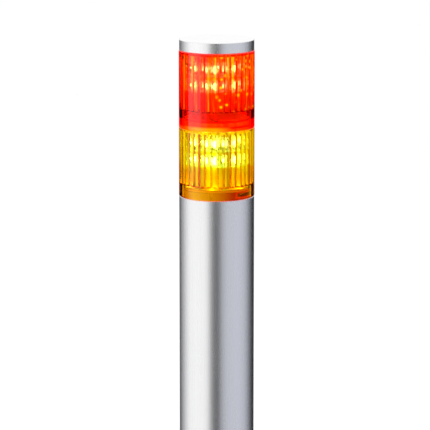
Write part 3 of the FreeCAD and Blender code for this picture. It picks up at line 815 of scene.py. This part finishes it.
finishes = {
    "silicone_rubber": {"colour": (0.78, 0.76, 0.71), "shade": (0.70, 0.68, 0.63), "rough": (0.35, 0.5),
                        "grain": 1800.0, "bump": 0.15},
    "seal_rubber": {"colour": (0.020, 0.020, 0.021), "shade": (0.034, 0.034, 0.036), "rough": (0.55, 0.75),
                    "grain": 2200.0, "bump": 0.25},
    "holder_plastic": {"colour": (0.74, 0.74, 0.72), "shade": (0.68, 0.68, 0.66), "rough": (0.35, 0.5),
                       "grain": 2600.0, "bump": 0.12},
    "base_plastic": {"colour": (0.10, 0.10, 0.105), "shade": (0.13, 0.13, 0.135), "rough": (0.42, 0.6),
                     "grain": 1900.0, "bump": 0.3},
    "insert_brass": {"colour": (0.80, 0.58, 0.27), "shade": (0.72, 0.50, 0.22), "metallic": 1.0,
                     "rough": (0.25, 0.4), "grain": 2500.0, "bump": 0.1},
    "zinc_steel": {"colour": (0.66, 0.68, 0.70), "shade": (0.55, 0.57, 0.60), "metallic": 1.0,
                   "rough": (0.25, 0.45), "grain": 2000.0, "bump": 0.1},
    "spacer_aluminium": {"colour": (0.78, 0.78, 0.79), "shade": (0.70, 0.70, 0.71), "metallic": 1.0,
                         "rough": (0.3, 0.42), "grain": 2500.0, "bump": 0.1},
    "chip_black": {"colour": (0.03, 0.03, 0.032), "shade": (0.05, 0.05, 0.053), "rough": (0.4, 0.55),
                   "grain": 4000.0, "bump": 0.2},
    "red_wire": {"colour": (0.55, 0.03, 0.02), "shade": (0.48, 0.025, 0.02), "rough": (0.3, 0.45),
                 "grain": 3000.0, "bump": 0.08},
    "amber_wire": {"colour": (0.80, 0.42, 0.03), "shade": (0.72, 0.36, 0.025), "rough": (0.3, 0.45),
                   "grain": 3000.0, "bump": 0.08},
    "slate_wire": {"colour": (0.10, 0.12, 0.15), "shade": (0.13, 0.15, 0.18), "rough": (0.3, 0.45),
                   "grain": 3000.0, "bump": 0.08},
    "header_nylon": {"colour": (0.78, 0.76, 0.68), "shade": (0.72, 0.70, 0.62), "rough": (0.35, 0.5),
                     "grain": 3000.0, "bump": 0.12},
}
collarLook = {"colour": (0.09, 0.085, 0.08), "shade": (0.07, 0.067, 0.065), "rough": (0.4, 0.55),
              "grain": 2200.0, "bump": 0.15}

boardLooks = {
    "white_board": {"colour": (0.80, 0.80, 0.77), "shade": (0.74, 0.74, 0.71), "track": (0.70, 0.71, 0.66),
                    "rough": (0.3, 0.45), "upright": False},
    "green_board": {"colour": (0.015, 0.12, 0.05), "shade": (0.022, 0.15, 0.06), "track": (0.05, 0.26, 0.11),
                    "rough": (0.22, 0.36), "upright": True},
}


# Printed boards: tracks under the mask, broken up so that they don't cover it evenly
def makeBoard(name, look):
    material, tree, shader = newMaterial(name, IOR=1.5)
    grain = placeGroup(tree, grainGroup, Grain=2500.0, Drift=90.0)
    place = addNode(tree, "ShaderNodeTexCoord")
    turn = addNode(tree, "ShaderNodeMapping", Location=(0.0007, 0.0004, 0),
                   Rotation=(math.pi / 2 if look["upright"] else 0, 0, 0))
    tree.links.new(place.outputs["Object"], turn.inputs["Vector"])
    tracks = addNode(tree, "ShaderNodeTexBrick", Scale=1000.0, Mortar_Size=0.16, Mortar_Smooth=0.2,
                     Brick_Width=4.1, Row_Height=1.27)
    patches = addNode(tree, "ShaderNodeTexNoise", Scale=260.0, Detail=1.0)
    for texture in (tracks, patches):
        tree.links.new(turn.outputs[0], texture.inputs["Vector"])
    broken = mapped(tree, patches.outputs[0], 0.0, 1.0, 0.47, 0.50)
    printed = product(tree, tracks.outputs["Fac"], broken)
    board = mixColour(tree, grain["Mask"], look["colour"], look["shade"])
    feed(tree, shader, Base_Color=mixColour(tree, printed, board, look["track"]),
         Roughness=mapped(tree, grain["Mask"], *look["rough"]))
    under = addBump(tree, shader, printed, 0.6, 4e-5)
    addBump(tree, shader, grain["Height"], 0.08, 1e-5, under)
    return material


bandColours = {"tan": (0.56, 0.47, 0.32), "brown": (0.16, 0.06, 0.03), "green": (0.04, 0.22, 0.07),
               "gold": (0.62, 0.44, 0.14), "dark": (0.03, 0.03, 0.03)}
# Bands start at shares of the part's length along axis, or of span from the tower's axis outwards.
# The part is tinned from each end in to "plain" short of its middle.
resistorLook = {"node": "power_resistors", "axis": "X", "rough": (0.3, 0.45), "bump": 0.12, "plain": 0.315,
                "bands": [(0.0, "tan"), (0.26, "brown"), (0.31, "tan"), (0.40, "green"), (0.45, "tan"),
                          (0.51, "brown"), (0.56, "tan"), (0.70, "gold"), (0.75, "tan")]}
rectifierLook = {"node": "rectifier", "axis": "Z", "rough": (0.4, 0.55), "bump": 0.2, "plain": 0.372,
                 "bands": [(0.0, "dark"), (1.0, "dark")]}
chipLook = {"span": (5.5, 7.5), "rough": (0.35, 0.5), "bump": 0.15, "plain": 0.34,
            "bands": [(0.0, "dark"), (1.0, "dark")]}


# Small parts with tinned ends and bands of colour
def makeBanded(name, look):
    material, tree, shader = newMaterial(name, IOR=1.5)
    grain = placeGroup(tree, grainGroup, Grain=4000.0, Drift=300.0)
    point, at = objectPlace(tree)
    if "span" in look:
        share = mappedOver(tree, radiusFrom(tree, point), 0.0, 1.0, look["span"])
    else:
        start, end = (corner["XYZ".index(look["axis"])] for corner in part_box(look["node"]))
        share = mapped(tree, at[look["axis"]], 0.0, 1.0, start, end)
    ramp = addNode(tree, "ShaderNodeValToRGB")
    ramp.color_ramp.interpolation = "CONSTANT"
    stops = ramp.color_ramp.elements
    for i, (begin, colour) in enumerate(look["bands"]):
        stop = stops[i] if i < 2 else stops.new(begin)
        stop.position = begin
        stop.color = (*bandColours[colour], 1)
    tree.links.new(share, ramp.inputs[0])
    middle = maths(tree, "ABSOLUTE", maths(tree, "SUBTRACT", share, 0.5))
    metal = maths(tree, "GREATER_THAN", middle, look["plain"])
    shade = mapped(tree, grain["Mask"], 0.0, 0.25)
    colour = mixColour(tree, shade, ramp.outputs[0], (0.0, 0.0, 0.0))
    feed(tree, shader, Base_Color=mixColour(tree, metal, colour, (0.78, 0.78, 0.77)), Metallic=metal,
         Roughness=mapped(tree, grain["Mask"], *look["rough"]))
    addBump(tree, shader, grain["Height"], look["bump"], 1e-5)
    return material


sleeveLook = {"node": "capacitor", "colour": (0.04, 0.06, 0.14), "shade": (0.05, 0.075, 0.17),
              "stripe": 0.9, "stripeColour": (0.62, 0.66, 0.70), "bare": (0.80, 0.80, 0.80),
              "rim": 0.45, "lid": 0.1, "leads": 1.45}


# Sleeved can: a pale stripe down one side, and the bare aluminium end
def makeSleeve(name, look):
    material, tree, shader = newMaterial(name, IOR=1.5)
    low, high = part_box(look["node"])
    grain = placeGroup(tree, grainGroup, Grain=3000.0, Drift=150.0)
    point, at = objectPlace(tree)
    stripe = maths(tree, "LESS_THAN", at["X"], low.x + look["stripe"] * mm)
    centre = addNode(tree, "ShaderNodeVectorMath", operation="SUBTRACT")
    centre.inputs[1].default_value = ((low.x + high.x) / 2, (low.y + high.y) / 2, 0)
    tree.links.new(point, centre.inputs[0])
    inner = maths(tree, "LESS_THAN", radiusFrom(tree, centre.outputs[0]),
                  (high.x - low.x) / 2 - look["rim"] * mm)
    lid = product(tree, inner, maths(tree, "GREATER_THAN", at["Z"], high.z - look["lid"] * mm))
    leads = maths(tree, "LESS_THAN", at["Z"], low.z + look["leads"] * mm)
    bare = maths(tree, "MAXIMUM", lid, leads)
    sleeve = mixColour(tree, grain["Mask"], look["colour"], look["shade"])
    sleeve = mixColour(tree, stripe, sleeve, look["stripeColour"])
    feed(tree, shader, Base_Color=mixColour(tree, bare, sleeve, look["bare"]), Metallic=bare,
         Roughness=mapped(tree, grain["Mask"], 0.2, 0.32))
    addBump(tree, shader, grain["Height"], 0.06, 1e-5)
    return material


threadLook = {"colour": (0.66, 0.68, 0.70), "shade": (0.55, 0.57, 0.60), "root": (0.34, 0.35, 0.37),
              "rough": (0.25, 0.42), "pitch": 0.5, "depth": 0.15}


# Zinc-plated rod with a rolled thread, its roots darkened with painted shade
def makeThread(name, look):
    material, tree, shader = newMaterial(name, Metallic=1.0)
    grain = placeGroup(tree, grainGroup, Grain=2500.0, Drift=120.0)
    at = objectPlace(tree)[1]
    turned = maths(tree, "ARCTAN2", at["Y"], at["X"])
    rise = maths(tree, "MULTIPLY", at["Z"], 2 * math.pi / (look["pitch"] * mm))
    helix = maths(tree, "SINE", maths(tree, "SUBTRACT", rise, turned))
    flank = mapped(tree, helix, 0.0, 1.0, -1.0, 1.0)
    plated = mixColour(tree, grain["Mask"], look["colour"], look["shade"])
    # painted shade: the thread's roots darker than its flanks
    feed(tree, shader, Base_Color=mixColour(tree, flank, look["root"], plated),
         Roughness=mapped(tree, grain["Mask"], *look["rough"]))
    under = addBump(tree, shader, flank, 1.0, look["depth"] * mm)
    addBump(tree, shader, grain["Height"], 0.1, 1e-5, under)
    return material


# By the record's slot, and by node where a piece has a finish of its own
materials = {slot: makeFinish(slot, look) for slot, look in finishes.items()}
for slot, look in boardLooks.items():
    materials[slot] = makeBoard(slot, look)
materials["anodised_aluminium"] = makeAnodised("anodised_aluminium", metalLook)
materials["capacitor_sleeve"] = makeSleeve("capacitor_sleeve", sleeveLook)
materials["resistor_body"] = makeBanded("resistor_body", resistorLook)
ownFinishes = {"tube_collar": makeFinish("collarPlastic", collarLook),
               "rectifier": makeBanded("rectifierBody", rectifierLook),
               "tie_rod": makeThread("threadedSteel", threadLook)}
for tier in lensLooks:
    ownFinishes[tier + "_chip_resistors"] = makeBanded(tier + "ChipBody", chipLook)
for name, material in ownFinishes.items():
    nodes[name].material_slots[0].material = material
for node in nodes.values():
    for place in node.material_slots:
        slot = place.material.name.split(".")[0]
        if slot in materials:
            place.material = materials[slot]
print("finishes ready")
